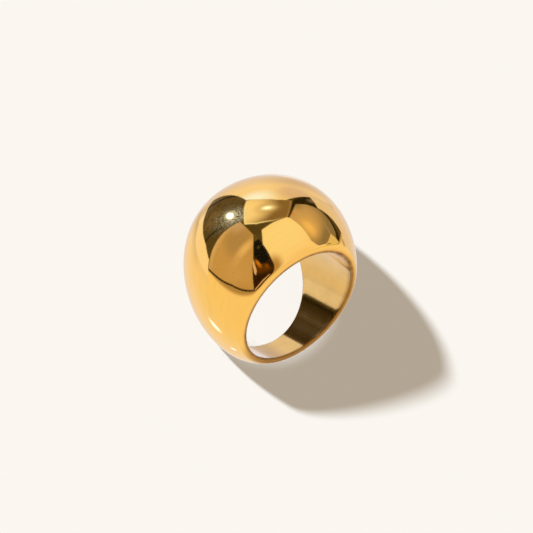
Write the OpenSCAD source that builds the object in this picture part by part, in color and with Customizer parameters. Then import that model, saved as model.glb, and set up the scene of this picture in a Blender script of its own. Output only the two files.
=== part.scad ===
// A domed gold ring, cast and polished in one piece.
// It is drawn standing, with the finger hole along Y and the crown up, and is then laid
// down on its far rim, the way that it rests by itself on a table.
// All sizes are in millimetres.

/* [Finger hole] */
// Inside diameter of the finger hole
hole_d = 17.3; // [16:0.1:19]
// Bevel that breaks the edge of the finger hole
hole_bevel = 0.2; // [0.1:0.05:0.3]

/* [Band] */
// Width of the band along the finger, level with the hole's centre
band_w = 12.2; // [11:0.1:15]
// Lean of each side rim, in degrees from square to the finger hole
rim_lean = 22.7; // [12:0.1:24]
// Width of the flat rim with both of its soft edges, from the hole to the dome
rim_w = 0.9; // [0.8:0.05:1.1]
// Rounding between the flat rim and the dome
rim_round = 0.35; // [0.2:0.05:0.4]
// Wall at the bottom of the band
shank_wall = 1.2; // [1.15:0.05:2.5]

/* [Dome] */
// Metal between the finger hole and the top of the crown
crown_wall = 7.85; // [4:0.05:10]
// Width of the ring across its widest place
body_w = 23.5; // [22:0.1:28]
// Height of the widest place above the hole's centre
waist_h = 3.75; // [2:0.05:5]
// Extra fullness of the outline between its widest place and its top and bottom
shoulder = 1.35; // [0:0.05:1.5]

/* [Smoothness] */
// Facets round the finger hole
facets_round = 96; // [48:12:120]
// Facets across the dome from rim to rim
facets_across = 20; // [12:2:28]

/* [Hidden] */

gold = [0.83, 0.60, 0.22];
hole_r = hole_d / 2;
crown_h = hole_r + crown_wall;
bottom_h = hole_r + shank_wall;
// The outline is an oval about its widest place: its mean half height, and how much
// taller its upper half is than the mean
oval_mean = (crown_h + bottom_h) / 2;
oval_skew = (crown_h - bottom_h) / 2 - waist_h;
// The shell's own inner wall lies this far inside the finger hole, which cuts it off
core_gap = 0.6;
// Length of the cutter for the finger hole, well past both rims
cutter_l = 4 * band_w;
// Steps of the curve that rounds the corner between rim and dome
corner_steps = 3;

// Outline of the ring at the middle of the band, seen along the finger, at angle a
function outline(a) = [
    body_w / 2 * cos(a),
    waist_h + (oval_mean + oval_skew * sin(a) + shoulder * cos(a) * cos(a)) * sin(a)
];

// A point at angle a on a circle of radius r round the finger hole
function round_hole(a, r) = [r * cos(a), r * sin(a)];

// Half the band's width at height z: both rims are planes that lean apart upwards
function half_w(z) = band_w / 2 + tan(rim_lean) * z;

// A point of the standing ring from its place p in the side view, at share s of the way
// from the middle of the band, 0, to its rims, -1 and 1
function at_share(p, s) = [p[0], half_w(p[1]) * s, p[1]];

// The dome: its section is a parabola across the band, which rises from both rims
function dome_point(a, s) =
    let (
        foot = round_hole(a, hole_r + rim_w),
        rise = outline(a) - foot
    )
    at_share(foot + rise * (1 - s * s), s);

// A point of the flat rim on one side, -1 or 1, at radius r
function rim_point(a, r, side) = at_share(round_hole(a, r), side);

// A curve that leaves p towards the corner q and reaches t from it, with k from 0 to 1
function soft_corner(p, q, t, k) =
    (1 - k) * (1 - k) * p + 2 * k * (1 - k) * q + k * k * t;

// Share of the band's half width at which the rounding ends on the dome
function round_share(a) = 1 - rim_round / half_w(hole_r * sin(a));

// One side of the section at angle a: the shell's inner corner, the bevel, the flat rim
// and its rounding up to the dome
function side_points(a, side) =
    let (
        bevel_depth = hole_bevel + core_gap,
        inner_rim = rim_point(a, hole_r - core_gap, side),
        on_rim = rim_point(a, hole_r + rim_w - rim_round, side),
        corner = rim_point(a, hole_r + rim_w, side),
        on_dome = dome_point(a, side * round_share(a))
    )
    concat(
        [inner_rim - [0, side * bevel_depth, 0]],
        [rim_point(a, hole_r + hole_bevel, side)],
        [for (i = [0:corner_steps]) soft_corner(on_rim, corner, on_dome, i / corner_steps)]
    );

// The points across the dome between the two roundings
function across_points(a) = [
    for (i = [1:facets_across - 1])
        dome_point(a, round_share(a) * (2 * i / facets_across - 1))
];

function reversed(list) = [for (i = [len(list) - 1:-1:0]) list[i]];

// The closed section at angle a, from one inner corner over the dome to the other
function section(a) =
    concat(side_points(a, -1), across_points(a), reversed(side_points(a, 1)));

sections = [for (i = [0:facets_round - 1]) section(360 * i / facets_round)];
section_points = len(sections[0]);
shell_points = [for (s = sections) each s];

// Two triangles fill each cell between two sections and two neighbouring points
function point_at(i, j) = (i % facets_round) * section_points + j % section_points;
shell_faces = [
    for (i = [0:facets_round - 1]) for (j = [0:section_points - 1]) each [
        [point_at(i, j), point_at(i + 1, j), point_at(i + 1, j + 1)],
        [point_at(i, j), point_at(i + 1, j + 1), point_at(i, j + 1)]
    ]
];

// Where the ring goes when its far rim is laid on the table: the height of the hole's
// centre, and the middle of the ring's length there
laid_ys = [for (p = shell_points) p[1] * sin(rim_lean) + p[2] * cos(rim_lean)];
laid_middle = (max(laid_ys) + min(laid_ys)) / 2;
laid_h = band_w / 2 * cos(rim_lean);

// Lays the standing ring down on its far rim, with its middle over the origin
module laid_down() {
    translate([0, -laid_middle, laid_h]) rotate([rim_lean - 90, 0, 0]) children();
}

// The ring: the domed shell with the round finger hole through it
module domed_band() {
    color(gold) laid_down() difference() {
        polyhedron(points = shell_points, faces = shell_faces);
        rotate([90, 0, 0])
            cylinder(r = hole_r, h = cutter_l, center = true, $fn = facets_round);
    }
}

domed_band();
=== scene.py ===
# %% [markdown]
# # A domed gold ring
# A ring for a finger, cast and polished in one piece: a round hole, two narrow flat rims
# that lean away from each other, and between them a high dome that is thick over the
# finger and thin under it. It lies on its far rim, the way that it rests by itself.
# The CAD model holds its sizes. This script repeats them as one smooth surface, gives it
# its polish, and sets up a small studio, because a mirror shows little but its studio.

# %% Load the CAD model
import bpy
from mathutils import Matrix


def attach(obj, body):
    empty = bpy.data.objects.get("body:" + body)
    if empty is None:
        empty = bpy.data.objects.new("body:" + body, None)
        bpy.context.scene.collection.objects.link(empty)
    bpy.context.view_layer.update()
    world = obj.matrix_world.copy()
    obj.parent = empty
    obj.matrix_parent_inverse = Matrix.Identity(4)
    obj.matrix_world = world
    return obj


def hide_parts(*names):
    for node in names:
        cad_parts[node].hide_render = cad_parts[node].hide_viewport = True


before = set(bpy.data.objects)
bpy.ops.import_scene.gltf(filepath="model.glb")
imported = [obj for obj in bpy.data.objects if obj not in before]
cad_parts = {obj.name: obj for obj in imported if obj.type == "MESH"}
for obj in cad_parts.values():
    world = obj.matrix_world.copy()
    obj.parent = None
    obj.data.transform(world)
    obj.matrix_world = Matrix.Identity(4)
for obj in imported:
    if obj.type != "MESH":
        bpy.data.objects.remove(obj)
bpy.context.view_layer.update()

import bpy
import numpy as np
from mathutils import Matrix, Vector

MM = 0.001


def tone(red, green, blue):
    """Linear colour of a display colour given from 0 to 255: above the toe, each channel
    is ((c + 0.055) / 1.055) to the power 2.4."""
    shown = np.array([red, green, blue]) / 255
    linear = np.where(shown <= 0.04045, shown / 12.92, ((shown + 0.055) / 1.055) ** 2.4)
    return (*linear, 1.0)


# %% [markdown]
# ## The ring's sizes
# These are the CAD model's own driving sizes, in millimetres. They are named again here
# because the smooth surface follows the same formulas, only on a much finer grid.

# %% Sizes of the ring
HOLE_R = 17.3 / 2
BAND_W = 12.2
RIM_LEAN = np.radians(22.7)
RIM_W = 0.9
RIM_ROUND = 0.35
SHANK_WALL = 1.2
CROWN_WALL = 7.85
BODY_W = 23.5
WAIST_H = 3.75
SHOULDER = 1.35
HOLE_EDGE = 0.22

CROWN_H = HOLE_R + CROWN_WALL
BOTTOM_H = HOLE_R + SHANK_WALL
OVAL_MEAN = (CROWN_H + BOTTOM_H) / 2
OVAL_SKEW = (CROWN_H - BOTTOM_H) / 2 - WAIST_H
print("band", BAND_W, "mm wide, crown", CROWN_WALL, "mm and shank", SHANK_WALL, "mm thick")

# %% [markdown]
# ## The ring's section, carried round the finger
# A lathe can't turn this form, because the outline isn't round and the band is wider at
# the crown. A subdivided cage would do, but its curvature ripples, and a mirror shows
# every ripple. So each strip of the section is a formula in two parameters: the angle
# round the finger, and a share from 0 to 1 along the strip.


# %% Outline and dome
def outline(turn):
    """Side view at the middle of the band: an oval about its widest place, whose half
    height grows with the sine of the angle and with the square of its cosine."""
    half_height = OVAL_MEAN + OVAL_SKEW * np.sin(turn) + SHOULDER * np.cos(turn) ** 2
    return BODY_W / 2 * np.cos(turn), WAIST_H + half_height * np.sin(turn)


def half_width(high):
    """Half the band's width at a height: both rims are planes that lean apart upwards."""
    return BAND_W / 2 + np.tan(RIM_LEAN) * high


def at_share(across, high, share):
    """A point of the standing ring: half the band's width at that height, times the
    share from the middle of the band, 0, to its rims, -1 and 1."""
    return np.stack(np.broadcast_arrays(across, half_width(high) * share, high), axis=-1)


def dome(turn, share):
    """The dome: from the rim's outer edge it rises to the outline by 1 minus the share
    squared, so that its section is a parabola."""
    foot_x = (HOLE_R + RIM_W) * np.cos(turn)
    foot_z = (HOLE_R + RIM_W) * np.sin(turn)
    top_x, top_z = outline(turn)
    rise = 1 - share ** 2
    return at_share(foot_x + (top_x - foot_x) * rise, foot_z + (top_z - foot_z) * rise, share)


def rim(turn, radius, side):
    """A point of the flat rim on one side, -1 or 1, at a radius round the finger."""
    return at_share(radius * np.cos(turn), radius * np.sin(turn), side)


def soft_corner(start, corner, end, share):
    """A quadratic curve from start to end that heads for the corner at both ends."""
    share = share[..., None]
    return (1 - share) ** 2 * start + 2 * share * (1 - share) * corner + share ** 2 * end


print("the crown is", round(float(outline(np.pi / 2)[1]), 2), "mm over the hole's centre")


# %% The section's strips
def round_share(turn):
    """Share of the band's half width at which the dome ends and the rounding starts."""
    return 1 - RIM_ROUND / half_width(HOLE_R * np.sin(turn))


def rounding(turn, share, side):
    """From the dome to the flat rim, round the corner between them."""
    return soft_corner(
        dome(turn, side * round_share(turn)),
        rim(turn, HOLE_R + RIM_W, side),
        rim(turn, HOLE_R + RIM_W - RIM_ROUND, side),
        share,
    )


def flat_rim(turn, share, side):
    """Straight in across the flat rim, to where the hole's edge starts to turn."""
    outer, inner = HOLE_R + RIM_W - RIM_ROUND, HOLE_R + HOLE_EDGE
    return rim(turn, outer + (inner - outer) * share, side)


def hole_edge(turn, share, side):
    """From the flat rim round the hole's edge into the hole."""
    edge = rim(turn, HOLE_R, side)
    inside = edge - np.array([0, side * HOLE_EDGE, 0])
    return soft_corner(rim(turn, HOLE_R + HOLE_EDGE, side), edge, inside, share)


def dome_strip(turn, share):
    """Over the dome from the near rounding to the far one."""
    return dome(turn, round_share(turn) * (2 * share - 1))


def hole_wall(turn, share):
    """Straight back through the hole, from its far edge to its near one."""
    far = rim(turn, HOLE_R, 1) - np.array([0, HOLE_EDGE, 0])
    near = rim(turn, HOLE_R, -1) + np.array([0, HOLE_EDGE, 0])
    return far + (near - far) * share[..., None]


print("the dome fills", round(float(round_share(np.pi / 2)), 3), "of the width over the finger")

# %% [markdown]
# ## One closed mesh
# Eight strips follow one another round the section. Each leaves out its last row, which
# the next one starts with, so the grid closes on itself both ways with no seam.

# %% Sew the strips into a mesh
STRIPS = [
    # strip, its side if it has one, and its rows
    (dome_strip, None, 104),
    (rounding, 1, 9),
    (flat_rim, 1, 4),
    (hole_edge, 1, 8),
    (hole_wall, None, 14),
    (hole_edge, -1, 8),
    (flat_rim, -1, 4),
    (rounding, -1, 9),
]


def strip_points(strip, side, rows):
    """A strip's grid without its last row. A strip on the near side runs outwards."""
    share = np.linspace(0, 1, rows, endpoint=False)[None, :]
    if side is None:
        return strip(turns, share)
    return strip(turns, share if side > 0 else 1 - share, side)


TURNS_ROUND = 480
turns = np.linspace(0, 2 * np.pi, TURNS_ROUND, endpoint=False)[:, None]
section = np.concatenate([strip_points(*strip) for strip in STRIPS], axis=1)
print("grid:", section.shape[0], "round the finger by", section.shape[1], "round the section")

# %% [markdown]
# ## Laying the ring down
# The formulas draw the ring standing, with the finger along Y. It is laid on its far rim
# by one turn about X, and moved until its middle is over the origin.

# %% From standing to lying
LAY = np.array([
    [1, 0, 0],
    [0, np.sin(RIM_LEAN), np.cos(RIM_LEAN)],
    [0, -np.cos(RIM_LEAN), np.sin(RIM_LEAN)],
])
lying_y = (section @ LAY.T)[..., 1]
LAID_MIDDLE = (lying_y.max() + lying_y.min()) / 2
HOLE_CENTRE = np.array([0, -LAID_MIDDLE, BAND_W / 2 * np.cos(RIM_LEAN)])


def laid(points):
    """Standing points, in millimetres, as they lie on the table, in metres."""
    return (points @ LAY.T + HOLE_CENTRE) * MM


print("the hole's centre lies at", HOLE_CENTRE.round(3), "mm")


# %% The mesh
def closed_mesh(name, points):
    """A mesh of a grid that closes both ways: cell (i, j) joins rows i and i + 1 and
    columns j and j + 1, counted round. Its corners go anticlockwise as seen from outside
    the ring, so its face points outwards."""
    rounds, rows = points.shape[:2]
    i, j = np.meshgrid(np.arange(rounds), np.arange(rows), indexing="ij")
    next_i, next_j = (i + 1) % rounds, (j + 1) % rows
    corners = [i * rows + j, i * rows + next_j, next_i * rows + next_j, next_i * rows + j]
    faces = np.stack(corners, axis=-1).reshape(-1, 4)
    mesh = bpy.data.meshes.new(name)
    mesh.vertices.add(rounds * rows)
    mesh.vertices.foreach_set("co", points.reshape(-1))
    mesh.loops.add(faces.size)
    mesh.loops.foreach_set("vertex_index", faces.reshape(-1))
    mesh.polygons.add(len(faces))
    mesh.polygons.foreach_set("loop_start", np.arange(len(faces)) * 4)
    mesh.update(calc_edges=True)
    mesh.shade_smooth()
    return mesh


ring_mesh = closed_mesh("polished_ring", laid(section))
ring = bpy.data.objects.new("polished_ring", ring_mesh)
bpy.context.scene.collection.objects.link(ring)
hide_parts("domed_band")
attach(ring, "root")
# The paper's light comes from the sky and the lamps alone, with none sent on by the gold
ring.visible_diffuse = False
print("ring mesh:", len(ring_mesh.vertices), "points,", 2 * len(ring_mesh.polygons), "triangles")


# %% Which way the faces point
def enclosed_volume(mesh):
    """A sixth of the sum of a . (b x c) over triangles: above 0 if faces point outwards."""
    places = np.zeros(len(mesh.vertices) * 3)
    mesh.vertices.foreach_get("co", places)
    corners = np.zeros(len(mesh.polygons) * 4, dtype=int)
    mesh.loops.foreach_get("vertex_index", corners)
    a, b, c, d = places.reshape(-1, 3)[corners.reshape(-1, 4).T]
    doubled = np.cross(b, c) + np.cross(c, d)
    return float((a * doubled).sum() / 6)


volume = enclosed_volume(ring_mesh)
facing = "outwards" if volume > 0 else "inwards"
print("volume", round(volume / MM ** 3, 1), "cubic millimetres, faces point", facing)

# %% [markdown]
# ## Where the finish and the painted shade change
# The dome is a mirror, and the hole is only satin. Shade is also painted into the colour,
# in place of shade that the gold would mirror: a dark line along the hole's edges, the
# near rim darker low down and on the right, and one side of the hole darker brown. A
# material can't know which strip it is on, so each point carries a few numbers: how far
# it is inside, on the painted dark line, in the rim's painted shade or in the hole's. A
# table gives each number at the start, the middle and the end of a strip.

# %% Numbers that the points carry
# The dark line, the rim's shade and the hole's dark side are painted shade
FINISH_PLACES = {
    "inside": {hole_edge: (0, 0.6, 1), hole_wall: (1, 1, 1)},
    "edge_line": {flat_rim: (0, 0.7, 1), hole_edge: (1, 1, 0.8)},
    "rim_shade": {rounding: (0.25, 0.7, 1), flat_rim: (1, 0.5, 0.85), hole_edge: (0.7, 0.5, 0)},
    "hole_shade": {hole_wall: (1, 1, 1)},
}
# How much painted shade the rim gets, and the hole, at an angle round the finger, in
# degrees. In the hole it lies on one side only.
RIM_SHADE_ROUND = [
    (0, 0.4), (40, 0), (75, 0), (200, 0), (218, 0.55), (245, 1), (290, 1), (320, 0.8), (360, 0.5),
]
HOLE_SHADE_ROUND = [(0, 0), (285.5, 0), (289, 1), (326, 1), (331, 0), (360, 0)]


def across_the_section(levels):
    """One number for each column of the grid: a strip's three levels, at its start, its
    middle and its end, with straight lines between, and 0 on a strip that has none."""
    columns = []
    for strip, side, rows in STRIPS:
        share = np.linspace(0, 1, rows, endpoint=False)
        share = 1 - share if side == -1 else share
        columns.append(np.interp(share, [0, 0.5, 1], levels.get(strip, (0, 0, 0))))
    return np.concatenate(columns)[None, :]


def store(name, kind, values):
    """Puts numbers on the mesh's points: one each, or three each for a vector."""
    layer = ring_mesh.attributes.new(name, kind, "POINT")
    key = "value" if kind == "FLOAT" else "vector"
    layer.data.foreach_set(key, np.ascontiguousarray(values, dtype=np.float32).reshape(-1))


everywhere = np.ones(section.shape[:2])
finish = {name: across_the_section(levels) * everywhere for name, levels in FINISH_PLACES.items()}
finish["rim_shade"] *= np.interp(np.degrees(turns), *zip(*RIM_SHADE_ROUND))
finish["hole_shade"] *= np.interp(np.degrees(turns), *zip(*HOLE_SHADE_ROUND))
for name, values in finish.items():
    store(name, "FLOAT", values)
    print(name, "covers", round(100 * float((values > 0.5).mean()), 1), "% of the points")

# %% [markdown]
# The buff runs round the finger, and its fine lines run with it. They follow a place
# made of the angle's cosine and sine, which closes round the ring without a seam, and
# the share across the band.

# %% The buff's own coordinate
band_share = section[..., 1] / half_width(section[..., 2])
buff_place = np.stack([np.cos(turns) * everywhere, np.sin(turns) * everywhere, band_share], -1)
store("buff_place", "FLOAT_VECTOR", buff_place)
print("share across the band from", band_share.min().round(3), "to", band_share.max().round(3))

# %% [markdown]
# ## Node trees
# A Blender material or world is a tree of small nodes. They could be placed by hand in
# the editor. Two helpers do it here, so that each finish below reads as a short formula.


# %% A helper for node trees
def add_node(tree, kind, feeds, out=0, **settings):
    """Adds a node, sets its properties, fills its inputs from feeds, which maps an input's
    number or name to a value or to another node's output, and returns one output."""
    new = tree.nodes.new(kind)
    for name, value in settings.items():
        setattr(new, name, value)
    for slot, value in feeds.items():
        if isinstance(value, bpy.types.NodeSocket):
            tree.links.new(value, new.inputs[slot])
        else:
            new.inputs[slot].default_value = value
    return new.outputs[out]


def mixed(tree, share, first, second):
    """First colour turned into the second by a share."""
    feeds = {0: share, 6: first, 7: second}
    return add_node(tree, "ShaderNodeMix", feeds, out=2, data_type="RGBA")


# %% [markdown]
# ## Polished gold
# The metal is plated and buffed to a mirror. A mirror needs little colour of its own: a
# warm base that white light fills, cloudy by a few hundredths, with buffing lines that
# run round the finger. The surface isn't perfectly flat either. A hand-held ring leaves
# the buff with long soft waves, and these bend the edges of what it mirrors.

# %% Patterns on the gold
gold = bpy.data.materials.new("polished_gold")
gold.use_nodes = True
alloy = gold.node_tree
metal = alloy.nodes["Principled BSDF"]
place = add_node(alloy, "ShaderNodeTexCoord", {}, out="Object")
along_buff = add_node(alloy, "ShaderNodeAttribute", {}, out="Vector", attribute_name="buff_place")


def carried(name):
    """A number that the points carry."""
    return add_node(alloy, "ShaderNodeAttribute", {}, out="Fac", attribute_name=name)


def cloud(size, detail=2.0):
    """Even noise from 0 to 1, with features of a size in millimetres."""
    feeds = {"Vector": place, "Scale": 1 / (size * MM), "Detail": detail}
    return add_node(alloy, "ShaderNodeTexNoise", feeds, out="Fac")


def lines(round_finger, across):
    """Noise drawn out round the finger: so many changes in a turn, and across the band.
    The buff's coordinate is a circle about 6 long by 2 across."""
    feeds = {"Vector": along_buff, "Scale": (round_finger / 6, round_finger / 6, across / 2)}
    stretched = add_node(alloy, "ShaderNodeMapping", feeds, vector_type="POINT")
    feeds = {"Vector": stretched, "Scale": 1.0, "Detail": 3.0}
    return add_node(alloy, "ShaderNodeTexNoise", feeds, out="Fac")


def number(operation, first, second):
    """One Math node on the gold."""
    return add_node(alloy, "ShaderNodeMath", {0: first, 1: second}, operation=operation)


def span(value, low, high, start, end):
    """A number between low and high, drawn out to run from start to end."""
    feeds = {"Value": value, "From Min": low, "From Max": high, "To Min": start, "To Max": end}
    return add_node(alloy, "ShaderNodeMapRange", feeds)


# %% [markdown]
# The colour is laid on in coats: bright gold, then satin gold in the hole with painted
# shade on one side, then painted shade on the rim, and last a painted dark line along the
# hole's edges. A painted picture could do it, but the numbers on the points stay sharp from
# near and far. The dome's gloss and the hole's differ a little too, and three patterns of
# different sizes make the relief.

# %% Colour of the gold
GOLD = (0.97, 0.555, 0.125, 1.0)
DEEP_GOLD = (0.95, 0.532, 0.11, 1.0)
SATIN_GOLD = (0.78, 0.452, 0.12, 1.0)
DULL_SATIN = (0.70, 0.40, 0.10, 1.0)
# Painted shade, for the dark line on the hole's edges, the near rim and one side of the hole
EDGE_SHADE_GOLD = (0.24, 0.105, 0.012, 1.0)
SHADED_GOLD = (0.28, 0.11, 0.004, 1.0)
HOLE_SHADE_GOLD = (0.37, 0.172, 0.022, 1.0)
# Changes of the buffing lines in a turn round the finger, and across the band
BUFF_LINES = (18, 60)
FINE_LINES = (30, 90)
# Sizes of the smudges and of the breaks in the painted dark line, in millimetres
SMUDGE_SIZE = 2.2
LINE_BREAK_SIZE = 0.9

buff_lines = lines(*BUFF_LINES)
smudges = cloud(SMUDGE_SIZE)
surface = mixed(alloy, span(buff_lines, 0.35, 0.75, 0, 1), GOLD, DEEP_GOLD)
satin = mixed(alloy, span(smudges, 0.35, 0.8, 0, 1), SATIN_GOLD, DULL_SATIN)
# The hole's painted shade on one side, broken up by the smudges
hole_shade_share = number("MULTIPLY", carried("hole_shade"), span(smudges, 0.3, 0.7, 0.8, 1.0))
satin = mixed(alloy, hole_shade_share, satin, HOLE_SHADE_GOLD)
surface = mixed(alloy, carried("inside"), surface, satin)
# Painted shade on the near rim, low down and on the right
surface = mixed(alloy, carried("rim_shade"), surface, SHADED_GOLD)
# A painted dark line on the hole's edges, for the shade that they would mirror
edge_shade_share = number("MULTIPLY", carried("edge_line"), span(cloud(LINE_BREAK_SIZE), 0.3, 0.7, 0.7, 1.0))
surface = mixed(alloy, edge_shade_share, surface, EDGE_SHADE_GOLD)
alloy.links.new(surface, metal.inputs["Base Color"])
print("colour:", len(alloy.nodes), "nodes so far")

# %% Gloss of the gold
MIRROR_ROUGH = (0.045, 0.08)
SATIN_ROUGH = (0.08, 0.13)
mirror_rough = span(lines(*FINE_LINES), 0.3, 0.75, *MIRROR_ROUGH)
satin_rough = span(smudges, 0.3, 0.75, *SATIN_ROUGH)
inside = carried("inside")
blend_feeds = {0: inside, 2: mirror_rough, 3: satin_rough}
gloss = add_node(alloy, "ShaderNodeMix", blend_feeds, data_type="FLOAT")
alloy.links.new(gloss, metal.inputs["Roughness"])
metal.inputs["Metallic"].default_value = 1.0
print("roughness from", MIRROR_ROUGH[0], "on the dome to", SATIN_ROUGH[1], "in the hole")

# %% Relief of the gold
RELIEF = [
    # pattern, its whole height in millimetres: soft waves, buffing lines and fine grain
    (cloud(2.6, detail=1.0), 0.0035),
    (buff_lines, 0.00012),
    (cloud(0.16), 0.0001),
]
height = None
for pattern, depth in RELIEF:
    layer = number("MULTIPLY", pattern, depth * MM)
    height = layer if height is None else number("ADD", height, layer)
bump_feeds = {"Height": height, "Strength": 1.0, "Distance": 1.0}
relief = add_node(alloy, "ShaderNodeBump", bump_feeds, out="Normal")
alloy.links.new(relief, metal.inputs["Normal"])
ring_mesh.materials.append(gold)
print("gold:", len(alloy.nodes), "nodes")

# %% [markdown]
# ## The table
# A sheet of warm white paper, plain and matt. The gold doesn't mirror this plane, because
# the studio further down draws the paper that it mirrors, with its far edge and its shade.

# %% Paper table
PAPER = tone(251, 247, 240)
PAPER_SHARE = 0.8
TABLE_REACH = 4.0
table_mesh = bpy.data.meshes.new("table")
table_corners = [(-1, -1, 0), (1, -1, 0), (1, 1, 0), (-1, 1, 0)]
table_mesh.from_pydata([Vector(c) * TABLE_REACH for c in table_corners], [], [(0, 1, 2, 3)])
table = bpy.data.objects.new("table", table_mesh)
bpy.context.scene.collection.objects.link(table)
paper = bpy.data.materials.new("paper")
paper.use_nodes = True
sheet = paper.node_tree.nodes["Principled BSDF"]
sheet.inputs["Base Color"].default_value = tuple(PAPER_SHARE * c for c in PAPER[:3]) + (1.0,)
sheet.inputs["Roughness"].default_value = 1.0
sheet.inputs["Specular IOR Level"].default_value = 0.0
table_mesh.materials.append(paper)
table.visible_glossy = False
print("table:", 2 * TABLE_REACH, "m wide")

# %% [markdown]
# ## Camera
# The picture shows the ring standing, from its left and above. The same angles are
# measured on the standing ring and laid down with it, so it is seen from the same side,
# while the camera stays above the table.

# %% Camera
# Angles of the camera about the standing ring, its distance and its shift to the right and
# up, in millimetres, and its lens, in millimetres too
CAMERA_TURN = np.radians(-32.884)
CAMERA_RISE = np.radians(26.288)
CAMERA_ROLL = np.radians(-6.468)
CAMERA_REACH = 577.05
CAMERA_SHIFT = np.array([-0.912, 3.509])
LENS = 285.26


def standing_direction(azimuth, elevation):
    """The unit vector at an azimuth, 0 towards the picture's side of the ring and 90 to
    its right, and an elevation above level, both in radians, for the standing ring."""
    level = np.cos(elevation)
    return np.stack([np.sin(azimuth) * level, -np.cos(azimuth) * level, np.sin(elevation)], -1)


back = standing_direction(CAMERA_TURN, CAMERA_RISE)
level_right = np.array([np.cos(CAMERA_TURN), np.sin(CAMERA_TURN), 0])
level_up = np.cross(back, level_right)
right = np.cos(CAMERA_ROLL) * level_right + np.sin(CAMERA_ROLL) * level_up
up = np.cross(back, right)
stand = back * CAMERA_REACH + right * CAMERA_SHIFT[0] + up * CAMERA_SHIFT[1]

camera_data = bpy.data.cameras.new("camera")
camera_data.lens = LENS
camera = bpy.data.objects.new("camera", camera_data)
bpy.context.scene.collection.objects.link(camera)
pose = np.eye(4)
pose[:3, :3] = LAY @ np.stack([right, up, back], axis=1)
pose[:3, 3] = laid(stand)
camera.matrix_world = Matrix(pose.tolist())
bpy.context.scene.camera = camera
print("camera at", pose[:3, 3].round(4), "m")

# %% [markdown]
# ## The lamps
# A key lamp stands low on the left and throws the long shadow to the right, and an even
# sky fills that shadow. The ring lies down here, so the key lamp can't reach the paper in
# the hole. A small lamp that looks into the hole makes up for it. The gold mirrors no
# lamp: the studio below draws what it mirrors.

# %% Shares of the light
# Part of the paper's light, in red, green and blue, that only the key lamp gives
KEY_SHARE = np.array([0.537, 0.594, 0.663])
SKY_SHARE = 1 - KEY_SHARE


def lamp(name, kind, light_from, energy):
    """A lamp that gives the key lamp's share of the paper's light, but isn't mirrored by
    the gold. It is turned so that its light comes from a direction."""
    data = bpy.data.lights.new(name, kind)
    data.energy = energy * float(max(KEY_SHARE)) / PAPER_SHARE
    data.color = KEY_SHARE / max(KEY_SHARE)
    piece = bpy.data.objects.new(name, data)
    piece.visible_glossy = False
    piece.rotation_euler = Vector(light_from).to_track_quat("Z", "Y").to_euler()
    bpy.context.scene.collection.objects.link(piece)
    return piece


# %% Key lamp
KEY_TURN = np.radians(-142)
KEY_RISE = np.radians(28)
# How wide the lamp looks from the ring, which softens its shadow's edge
KEY_WIDTH = np.radians(3)
key_from = standing_direction(KEY_TURN, KEY_RISE)
key = lamp("key_light", "SUN", key_from, np.pi / np.sin(KEY_RISE))
key.data.angle = KEY_WIDTH
print("key light:", round(key.data.energy, 2), "W on a square metre")

# %% Lamp for the hole
# Half width of the lamp's beam, and how far it goes past the hole's centre, to the right
# and down in the picture, in millimetres
HOLE_LAMP_REACH = 8.3
HOLE_LAMP_ASIDE = (-0.3, 0.8)
# The lamp's own radius in millimetres, and the soft share of its beam
HOLE_LAMP_R = 2
HOLE_LAMP_SOFT = 0.05
to_camera = pose[:3, 3] - HOLE_CENTRE * MM
hole_reach = np.linalg.norm(to_camera)
slant = to_camera[2] / hole_reach
aside = pose[:3, 0] * HOLE_LAMP_ASIDE[0] - pose[:3, 1] * HOLE_LAMP_ASIDE[1]
# From a metre away and square on, a spot lamp of 4 pi squared watts lights paper fully
hole_energy = 4 * np.pi ** 2 * hole_reach ** 2 / slant
hole_light = lamp("hole_light", "SPOT", to_camera - aside * MM, hole_energy)
hole_light.data.spot_size = 2 * np.arctan(HOLE_LAMP_REACH * MM / hole_reach)
hole_light.data.spot_blend = HOLE_LAMP_SOFT
hole_light.data.shadow_soft_size = HOLE_LAMP_R * MM
hole_light.location = pose[:3, 3]
print("hole light:", round(hole_light.data.energy, 1), "W from", round(hole_reach, 3), "m")

# %% [markdown]
# ## The studio that the gold mirrors
# A mirror shows its surroundings. Here these are white paper all round and below, a dim
# room on the camera's side, and cards that stand on the paper or hang over it. Real
# planes could be set up, but drawn in the world they keep their edges straight and cast
# no shadow. Each card is a polygon on the sky, given by the azimuth and elevation of its
# corners as the standing ring sees them, in degrees.

# %% Start the world
studio = bpy.data.worlds.new("studio")
studio.use_nodes = True
sky = studio.node_tree
sky.nodes.clear()
bpy.context.scene.world = studio
look = add_node(sky, "ShaderNodeTexCoord", {}, out="Generated")


def sky_direction(azimuth, elevation):
    """The direction of a place on the standing ring's sky, in degrees, once laid down."""
    return LAY @ standing_direction(np.radians(azimuth), np.radians(elevation))


print("the standing ring's up is", sky_direction(0, 90).round(3), "once laid down")


# %% Sums with nodes
def maths(operation, first, second=0.0):
    """One Math node of the world."""
    return add_node(sky, "ShaderNodeMath", {0: first, 1: second}, operation=operation)


def light_path(kind):
    """What Blender knows of a ray, such as 1 for a glossy ray, which has left a mirror."""
    return add_node(sky, "ShaderNodeLightPath", {}, out=kind)


def towards(direction):
    """Cosine of the angle between the mirrored ray and a direction."""
    feeds = {0: look, 1: tuple(direction)}
    return add_node(sky, "ShaderNodeVectorMath", feeds, out="Value", operation="DOT_PRODUCT")


def soft_step(value, low, high):
    """0 below low and 1 above high, with a smooth climb between."""
    feeds = {"Value": value, "From Min": low, "From Max": high}
    return add_node(sky, "ShaderNodeMapRange", feeds, interpolation_type="SMOOTHSTEP")


# %% Tones and layers
def paint(under, share, colour):
    """Lays a colour over what is under it, by the share."""
    return mixed(sky, share, under, colour)


def layered(base, *layers):
    """Lays colours over a base one after another. A layer is its share and its colour."""
    for share, colour in layers:
        base = paint(base, share, colour)
    return base


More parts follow.
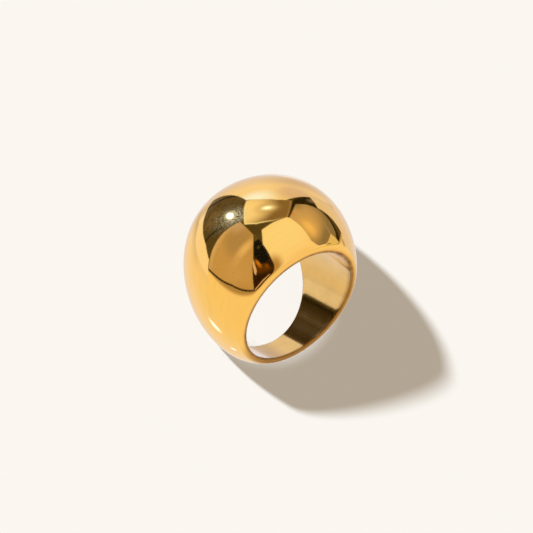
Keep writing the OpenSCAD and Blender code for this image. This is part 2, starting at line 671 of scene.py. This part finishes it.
def mirrored(red, green, blue, strength=1.0):
    """The studio tone that the gold turns into a display colour: the colour divided by
    the gold's own, times a strength."""
    return (*(np.array(tone(red, green, blue)[:3]) / GOLD[:3] * strength), 1.0)


def bare(red, green, blue):
    """A studio tone as it is, with 1 for white paper: for the paper itself, and for lights
    that are brighter than any display colour."""
    return (red, green, blue, 1.0)


# %% [markdown]
# Everything in the studio is one of four shapes: a flat card, the half space below a
# plane, a thin line, or an oval glow. Each is a share from 0 to 1 of the mirrored ray.
# A plane through the ring is the cheapest edge, because one dot product says on which
# side of it a ray goes.


# %% Straight shapes on the sky
def plane_between(first, second, side):
    """Unit normal of the plane through the ring and two places on the sky, on the side
    of a given direction."""
    normal = np.cross(first, second)
    return normal * np.sign(normal @ side) / np.linalg.norm(normal)


def card(corners, edge=0.8, grow=0.0):
    """Share of a card over the mirrored ray. Each edge lies in a plane through the ring,
    so the ray is inside the card if it is on the inner side of every such plane. edge is
    the width of a soft edge in degrees, and grow moves every edge outwards."""
    places = [sky_direction(*corner) for corner in corners]
    inside_all = None
    for first, second in zip(places, places[1:] + places[:1]):
        depth = towards(plane_between(first, second, sum(places)))
        inside_all = depth if inside_all is None else maths("MINIMUM", inside_all, depth)
    half = np.radians(edge) / 2
    return soft_step(inside_all, -half - np.radians(grow), half - np.radians(grow))


def below(places, edge=0.8, drop=0.0):
    """Share of the sky under a plane through the ring that holds two places. drop lowers
    it by so many degrees."""
    first, second = (sky_direction(*place) for place in places)
    depth = towards(plane_between(first, second, -LAY[:, 2]))
    half = np.radians(edge) / 2
    return soft_step(depth, np.radians(drop) - half, np.radians(drop) + half)


def below_bend(places, edge=0.8, drop=0.0):
    """Share of the sky under an edge of three places, which bends at the middle one: the
    part that is under the planes of both its halves."""
    halves = zip(places, places[1:])
    return maths("MINIMUM", *(below(half, edge, drop) for half in halves))


def line(start, end, width, fade=0.5):
    """Share of a thin straight line between two places, of a width in degrees. It fades
    out over so many degrees on both sides, and towards both ends."""
    first, second = sky_direction(*start), sky_direction(*end)
    off = maths("ABSOLUTE", towards(plane_between(first, second, LAY[:, 2])))
    thin = soft_step(off, np.radians(width / 2 + fade), np.radians(width / 2 - fade / 2))
    middle = (first + second) / np.linalg.norm(first + second)
    reach = float(middle @ first)
    return maths("MULTIPLY", thin, soft_step(towards(middle), reach, 0.7 * reach + 0.3))


# %% Round shapes on the sky
def spot(azimuth, elevation, long, wide, tilt=0.0, sharp=0.0):
    """Share of an oval glow: 1 at its middle, falling to 0 at its half length and half
    width in degrees, the length turned by tilt from upright. A sharp spot stays at 1
    over that share of its size."""
    middle = sky_direction(azimuth, elevation)
    upright = sky_direction(azimuth, elevation + 90)
    level = np.cross(middle, upright)
    along = upright * np.cos(np.radians(tilt)) + level * np.sin(np.radians(tilt))
    beside = np.cross(middle, along)
    far = maths("DIVIDE", towards(along), np.sin(np.radians(long)))
    off = maths("DIVIDE", towards(beside), np.sin(np.radians(wide)))
    size = maths("SQRT", maths("ADD", maths("MULTIPLY", far, far), maths("MULTIPLY", off, off)))
    front = maths("GREATER_THAN", towards(middle), 0.0)
    return maths("MULTIPLY", front, soft_step(size, 1.0, sharp))


def near(azimuth, elevation, whole, none):
    """1 up to so many degrees from a place on the sky, and 0 from so many on."""
    limits = np.cos(np.radians([none, whole]))
    return soft_step(towards(sky_direction(azimuth, elevation)), *map(float, limits))


def ripple(size, low, high):
    """Unevenness of the studio's surfaces: noise with features of a size in degrees."""
    feeds = {"Vector": look, "Scale": float(1 / np.radians(size)), "Detail": 2.0}
    noise = add_node(sky, "ShaderNodeTexNoise", feeds, out="Fac")
    return soft_step(noise, low, high)


# %% [markdown]
# ## Paper and room
# The paper is white and evenly lit where it is near. It grows cooler further back, where
# only the sky lights it, and dimmer and warmer at its far end, behind the ring. Each
# surface of the studio is made the same way: one tone, and soft layers over it.

# %% Tone of the paper
BEHIND = (147, -26)
UNDER_RIM = (66, -58)
paper_tone = layered(
    bare(1.01, 1.0, 0.98),
    # further back, where only the sky lights it, and at its far end
    (near(*BEHIND, 45, 85), bare(0.985, 1.04, 1.22)),
    (near(*BEHIND, 10, 42), bare(0.9, 0.89, 0.86)),
    (ripple(9, 0.45, 0.9), bare(0.94, 0.95, 0.97)),
    # what the near rim mirrors, warmed by the gold above it
    (near(*UNDER_RIM, 10, 24), bare(0.95, 0.87, 0.85)),
)
print("paper:", len(sky.nodes), "nodes so far")

# %% The dim room on the camera's side
DARK_ROD = mirrored(40, 28, 10)
room = layered(
    mirrored(90, 65, 21),
    # light that falls into the room, in four places
    (near(-165, 36, 8, 34), mirrored(98, 73, 33)),
    (near(-138, 20, 6, 20), mirrored(86, 63, 19)),
    (near(-160, 27, 4, 16), mirrored(114, 84, 35)),
    (spot(172, 10, 14, 30), mirrored(118, 92, 52)),
    # the dark over the left card
    (near(-75, 68, 8, 18), mirrored(84, 61, 18)),
    (ripple(5, 0.45, 0.75), mirrored(80, 58, 20)),
    # two rods that stand in it
    (line((-143, 6), (-134, 42), 1.8), DARK_ROD),
    (line((178, 4), (166, 38), 2.0), DARK_ROD),
)
print("room:", len(sky.nodes), "nodes so far")

# %% [markdown]
# ## Cards on the left and overhead
# The left card is tan and shows the room's light as soft bands. The overhead card is lit
# from its left, has bright folded edges, and mirrors one lamp as a gleam. What is drawn
# later covers what is drawn before, so the view starts with the room and gets nearer.

# %% Card on the left
TAN_CARD = [(-125, -5), (-125, 12), (-123, 64), (-53, 57), (-46, 0), (-44, -17)]
tan_tone = layered(
    mirrored(200, 144, 64),
    # shade in its middle, and paler corners and bands round it
    (near(-88, 44, 6, 30), mirrored(177, 130, 62)),
    (spot(-114, 60, 20, 16), mirrored(200, 152, 90)),
    (spot(-80, 6, 28, 22), mirrored(204, 149, 69)),
    (spot(-68, 38, 34, 11, tilt=-36), mirrored(234, 174, 86)),
    (spot(-126, 22, 60, 10), mirrored(222, 168, 92)),
    # shade over its foot
    (spot(-66, -14, 16, 40), mirrored(190, 134, 55)),
    (ripple(3.5, 0.55, 0.85), mirrored(182, 132, 64)),
)
view = paint(room, card(TAN_CARD), tan_tone)
print("left card:", len(sky.nodes), "nodes so far")

# %% Card overhead
OVERHEAD = [(-175, 63), (-144, 69), (-105, 67), (-62, 76), (-6, 77), (21, 72), (50, 60.8),
            (78, 58.3), (102, 51), (167, 54)]
FOLD_W = 1.9
GLEAM = (122, 76)
GLEAM_TILT = -62
over_tone = layered(
    mirrored(136, 95, 38),
    (near(-165, 66, 6, 36), mirrored(255, 206, 116)),
    # the lamp's gleam, from its faint rim to its middle
    (spot(*GLEAM, 18, 13, tilt=GLEAM_TILT), mirrored(200, 150, 76)),
    (spot(*GLEAM, 12, 7.5, tilt=GLEAM_TILT), mirrored(255, 224, 140)),
    (spot(*GLEAM, 7, 4, tilt=GLEAM_TILT), mirrored(255, 252, 190, 1.2)),
)
fold_tone = paint(mirrored(160, 116, 52), near(-140, 72, 10, 44), mirrored(255, 218, 128))
view = layered(
    view,
    (card(OVERHEAD), fold_tone),
    (card(OVERHEAD, grow=-FOLD_W), over_tone),
    # the dark line along its far edge
    (line((168, 53), (103, 51), 2.4), mirrored(78, 55, 17)),
)
print("overhead card:", len(sky.nodes), "nodes so far")

# %% [markdown]
# ## White card in front, grey card on the right
# The white card fills the middle of the picture's reflection. The grey one is curved and
# catches a glow, and its outer part falls into the dark behind it.

# %% White card
WHITE_CARD = [(-34, 66), (14, 71), (50, 62), (70, 20), (70, -30), (-30, -30)]
cream_tone = layered(
    mirrored(254, 200, 108),
    (near(4, 54, 14, 48), mirrored(254, 208, 114)),
    (ripple(7, 0.5, 0.8), mirrored(255, 206, 118)),
    # its shaded left edge, and a faint shade low down
    (spot(-15, 4, 27, 15, tilt=6, sharp=0.25), mirrored(186, 130, 54)),
    (spot(22, 4, 14, 30), mirrored(248, 190, 95)),
)
view = paint(view, card(WHITE_CARD), cream_tone)
print("white card:", len(sky.nodes), "nodes so far")

# %% Grey card, with the dark behind it
DARK_BEHIND = [(50, 61.3), (78, 58.8), (103.5, 51), (108.3, 34), (110, 25), (90, 19), (60, 30)]
DARK_BAND = [(60, 30), (94, 28), (90, 20), (88.5, 8), (88, -3), (86, -12), (76, -12), (66, 0)]
GREY_CARD = [(51, 59), (66, 57.9), (80, 55.3), (95, 49), (92, 39), (92, 29), (88, 21), (83, 12),
             (77, 0), (72, -4), (61, -2), (44, 1), (38, 16), (40, 34), (47, 52)]
dark_tone = paint(mirrored(44, 30, 5), spot(101, 29, 9, 5, tilt=10), mirrored(124, 97, 58))
grey_tone = layered(
    mirrored(143, 108, 54),
    (near(58, 44, 8, 36), mirrored(200, 148, 74)),
    (spot(94, 50, 10, 16), mirrored(164, 122, 60)),
    # the glow, and its bright middle
    (spot(50, 30, 32, 19, tilt=-20), mirrored(228, 166, 76)),
    (spot(50, 31, 19, 8, tilt=-14), mirrored(246, 182, 80)),
    # a pale crease, and a tiny red light at the card's corner
    (line((73, 22), (66, -2), 1.6), mirrored(168, 128, 68)),
    (spot(66, 57, 1.5, 1.5, sharp=0.3), mirrored(240, 84, 6)),
)
view = layered(
    view,
    (card(DARK_BEHIND), dark_tone),
    (card(DARK_BAND), dark_tone),
    (card(GREY_CARD), grey_tone),
)
print("grey card:", len(sky.nodes), "nodes so far")

# %% Bright triangle beside the grey card
TRIANGLE = [(70, 5), (73, -4), (80, -16), (51, -16), (50, -2)]
dark_foot = line((54, -3), (60, -5), 3.0)
triangle_tone = paint(mirrored(232, 180, 84), dark_foot, mirrored(120, 86, 30))
view = paint(view, card(TRIANGLE), triangle_tone)
print("triangle:", len(sky.nodes), "nodes so far")

# %% [markdown]
# ## Paper again, in front of the cards
# The cards stand on the paper, and their feet are in shade. Beyond them the paper runs
# on to its far edge, and two white boards stand behind the ring.

# %% Paper below, and the shade at the cards' feet
LEFT_FOOT = [(-124, -3), (-85, -6.6), (-50, -12.5)]
RIGHT_FOOT = [(20, -14), (110, 0)]
LIT_LEFT = [(-124, -4.5), (-65, -17.4)]
FOOT_LINE_W = 2.1
floor_share = maths("MULTIPLY", below_bend(LEFT_FOOT), below(RIGHT_FOOT))
floor_lit = maths("MULTIPLY", below(LIT_LEFT, edge=5), below(RIGHT_FOOT, edge=4, drop=2))
left_foot = maths("MULTIPLY", floor_share, near(-85, -8, 38, 46))
foot_line = maths("SUBTRACT", left_foot, below_bend(LEFT_FOOT, drop=FOOT_LINE_W))
floor_tone = layered(
    mirrored(182, 129, 56),
    (floor_lit, paper_tone),
    (foot_line, mirrored(26, 18, 4)),
)
view = paint(view, floor_share, floor_tone)
print("paper below:", len(sky.nodes), "nodes so far")

# %% Paper beyond the cards
FAR_EDGE = [(-126, 3.5), (-139, 11), (-159, 12.5), (-176, 11), (167, 5), (165, -30), (-126, -30)]
CREASE = [(-129, -9), (-173, 4), (169, -2.5)]
crease_shade = maths("SUBTRACT", below_bend(CREASE), below_bend(CREASE, edge=11, drop=5.7))
crease_tone = layered(
    bare(0.81, 0.87, 1.12),
    (near(174, -2, 6, 26), bare(0.66, 0.68, 0.72)),
    (near(-134, -7, 4, 16), bare(0.93, 0.97, 1.25)),
)
far_tone = layered(
    mirrored(254, 206, 121),
    # grey where it ends, then white again on the near side of the crease
    (near(168, 2, 6, 18), bare(0.76, 0.8, 0.92)),
    (below_bend(CREASE), paper_tone),
    (crease_shade, crease_tone),
)
view = paint(view, card(FAR_EDGE), far_tone)
print("paper beyond:", len(sky.nodes), "nodes so far")

# %% White boards behind the ring
BOARD = [(167, 53), (148, 60), (120, 60), (102, 51), (107, 34), (108, 20), (108, -30), (167, -30)]
SIDE_BOARD = [(91, 26), (112, 27), (112, -30), (88, -30), (89, 0)]
board_tone = layered(
    bare(1.0, 1.08, 1.42),
    # dimmer low down, and greyer in its shaded middle
    (near(*BEHIND, 24, 60), bare(0.8, 0.86, 1.08)),
    (near(*BEHIND, 5, 20), bare(0.88, 0.87, 0.85)),
    (spot(132, 12, 26, 20, tilt=-10), bare(0.69, 0.71, 0.95)),
    (ripple(14, 0.5, 0.95), bare(0.9, 0.93, 1.2)),
    # its top, which the lamp lights, and a tan patch towards the dark
    (spot(156, 57, 22, 25), mirrored(254, 244, 196)),
    (spot(114, 37, 24, 22, sharp=0.3), mirrored(224, 177, 114)),
)
board_fold = line((108, 28), (107, -10), 1.0, fade=1.5)
side_tone = paint(bare(0.84, 0.9, 1.3), board_fold, mirrored(214, 177, 126))
view = layered(
    view,
    (card(BOARD), board_tone),
    (card(SIDE_BOARD), side_tone),
    # a tan patch at the side board's foot, and a white one on the paper
    (spot(84, -13, 8, 5), mirrored(188, 142, 86)),
    (spot(140, -7, 9, 8), bare(0.98, 1.12, 1.46)),
)
print("boards:", len(sky.nodes), "nodes so far")

# %% [markdown]
# ## The gap in front
# Between the left and the white card the gold mirrors the camera's own side: a dark lens
# over amber wood, with slivers of paper beside it. A card can only bulge outwards, so the
# gap's outline takes two of them, and its dented left side is a bulge of the tan card.

# %% Outlines in the gap
GAP = [(-59, 73), (-53, 56), (-53, 40), (-52, 20), (-47, -2), (-46, -14.8), (-38, -13), (-22, -5),
       (-13, 4), (-16, 12), (-26, 40), (-33, 66)]
RIGHT_BULGE = [(-43, -15.4), (-35, -15), (-28, -13), (-21, -9), (-16, -3), (-15.5, 4), (-16, 9),
               (-25, 33), (-42, 36), (-52, 10)]
LENS_SHAPE = [(-51, 49), (-34, 55), (-28, 43), (-23, 25), (-24, 18), (-30, 15), (-36, 16),
              (-50, 30), (-54, 42)]
AMBER = [(-51, 32), (-34, 20), (-17, 14), (-15, 6), (-22, 0), (-38, 2), (-48, 14)]
AMBER_SHADE = [(-51, 4), (-15, 4)]
PALE_SLIVER = [(-51, 24), (-48.5, 23), (-44, 14), (-41.5, 8), (-42, 3), (-45, 5), (-48, 13),
               (-51, 21)]
TAN_BULGE = [(-60, 40), (-54.5, 40), (-47, -2), (-46, -10), (-46.5, -17), (-60, -17)]
LOW_SLIVER = [(-43, -13.2), (-30, -4.8), (-22, -1.4), (-20.5, -2.8), (-42.5, -14.8)]
gap_share = maths("MAXIMUM", card(GAP), card(RIGHT_BULGE))
print("gap:", len(GAP) + len(RIGHT_BULGE), "corners in its two cards")

# %% What shows in the gap
amber_tone = layered(
    mirrored(92, 44, 2),
    # two glows, and the dark low down
    (spot(-40, 18, 13, 4, tilt=38), mirrored(216, 120, 14)),
    (spot(-25, 13, 8, 5), mirrored(148, 84, 6)),
    (below(AMBER_SHADE, edge=5), mirrored(62, 34, 3)),
)
lens_tone = paint(mirrored(24, 18, 7), spot(-41, 40, 4, 4), mirrored(84, 64, 18))
gap_tone = layered(
    mirrored(48, 23, 2),
    (near(-42, 62, 22, 40), mirrored(98, 71, 23)),
    (card(AMBER, edge=5), amber_tone),
    (card(LENS_SHAPE, edge=2.0), lens_tone),
    (card(PALE_SLIVER, edge=1.0), mirrored(226, 166, 94)),
    # the tan card's edge, with a dark line round it
    (card(TAN_BULGE, grow=1.0), mirrored(84, 54, 16)),
    (card(TAN_BULGE), mirrored(198, 142, 62)),
    (card(LOW_SLIVER, edge=1.2), mirrored(214, 150, 78)),
)
view = paint(view, gap_share, gap_tone)
print("gap:", len(sky.nodes), "nodes so far")

# %% [markdown]
# ## The sun
# One bright lamp is mirrored as a star. Light that the fine scratches scatter round it
# glitters, so its halo is broken up. Scratches in the gold's own surface would do it too,
# but they would need far more samples to come out clean. On the paper the same lamp
# leaves two gleams.

# %% The sun and its gleams
SUN = (-152, 51)
SUN_TILT = -45
glitter = maths("MULTIPLY", spot(-148, 47, 34, 26), ripple(1.5, 0.5, 0.64))
halo = maths("MULTIPLY", spot(-147, 57, 22, 18), ripple(1.8, 0.42, 0.6))
view = layered(
    view,
    (glitter, mirrored(172, 166, 130)),
    (halo, mirrored(226, 214, 172)),
    (spot(*SUN, 12.5, 8.5, tilt=SUN_TILT), mirrored(245, 222, 168)),
    (spot(*SUN, 7.4, 5.0, tilt=SUN_TILT, sharp=0.35), bare(2.6, 4.2, 13.0)),
    # its gleams on the paper
    (spot(-145, -42.5, 8, 3.4, tilt=30), bare(2.2, 2.8, 7.0)),
    (spot(-167, -57, 3, 1.6), bare(2.5, 3.0, 8.0)),
)
print("sun:", len(sky.nodes), "nodes so far")

# %% [markdown]
# ## Who sees the studio
# Only the gold does. The camera sees plain paper as its backdrop, and the table gets the
# plain light of an even sky. The mixing is done between two shaders, so that Blender
# works out the studio's many nodes only for rays that have left a mirror.


# %% Send the studio to the gold alone
def background(colour):
    """A world shader of a colour."""
    return add_node(sky, "ShaderNodeBackground", {"Color": colour})


# Light that meets the gold twice takes its colour twice and comes out dark and red. It is
# raised by this much in red, green and blue.
TWICE = (1.12, 1.32, 1.55, 1.0)
twice = maths("GREATER_THAN", light_path("Glossy Depth"), 1.5)
feeds = {0: twice, 6: view, 7: TWICE}
view = add_node(sky, "ShaderNodeMix", feeds, out=2, data_type="RGBA", blend_type="MULTIPLY")

PLAIN_SKY = (*(SKY_SHARE / PAPER_SHARE), 1.0)
plain = background(mixed(sky, light_path("Is Camera Ray"), PLAIN_SKY, PAPER))
feeds = {0: light_path("Is Glossy Ray"), 1: plain, 2: background(view)}
shown = add_node(sky, "ShaderNodeMixShader", feeds)
sky_out = sky.nodes.new("ShaderNodeOutputWorld")
sky.links.new(shown, sky_out.inputs["Surface"])
# An even sky has no bright places that Blender would have to look for
studio.cycles.sampling_method = "NONE"
print("studio:", len(sky.nodes), "nodes")

# %% [markdown]
# ## Colours
# The studio's tones are set as display colours, so the picture shows them as they are,
# with no film look.

# %% Show colours as they are
bpy.context.scene.view_settings.view_transform = "Standard"
print("view:", bpy.context.scene.view_settings.view_transform)
